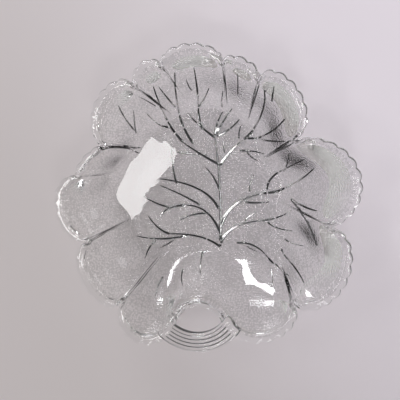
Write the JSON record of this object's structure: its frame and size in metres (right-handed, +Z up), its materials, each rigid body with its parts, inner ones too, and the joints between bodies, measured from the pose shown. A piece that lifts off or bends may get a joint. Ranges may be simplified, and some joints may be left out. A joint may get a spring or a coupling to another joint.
{
  "type": "leaf candy dish",
  "caption": "Shallow leaf-shaped dish of clear pressed glass with a scalloped thick edge, raised veins under the floor and a ridged loop handle at the stem end.",
  "frame": {"origin": "centre of the dish's plan outline, on the surface it stands on", "axes": "+Z up out of the bowl, +Y towards the leaf's tip lobe, -Y towards the handle, +X to the right as seen from above"},
  "size_m": [0.1751, 0.1738, 0.036],
  "materials": {
    "clear_glass": "fire-polished clear pressed glass"
  },
  "bodies": {
    "root": {"leaf_floor": "clear_glass", "leaf_wall": "clear_glass", "scalloped_rim": "clear_glass", "floor_veins": "clear_glass", "loop_handle": "clear_glass"}
  },
  "joints": []
}
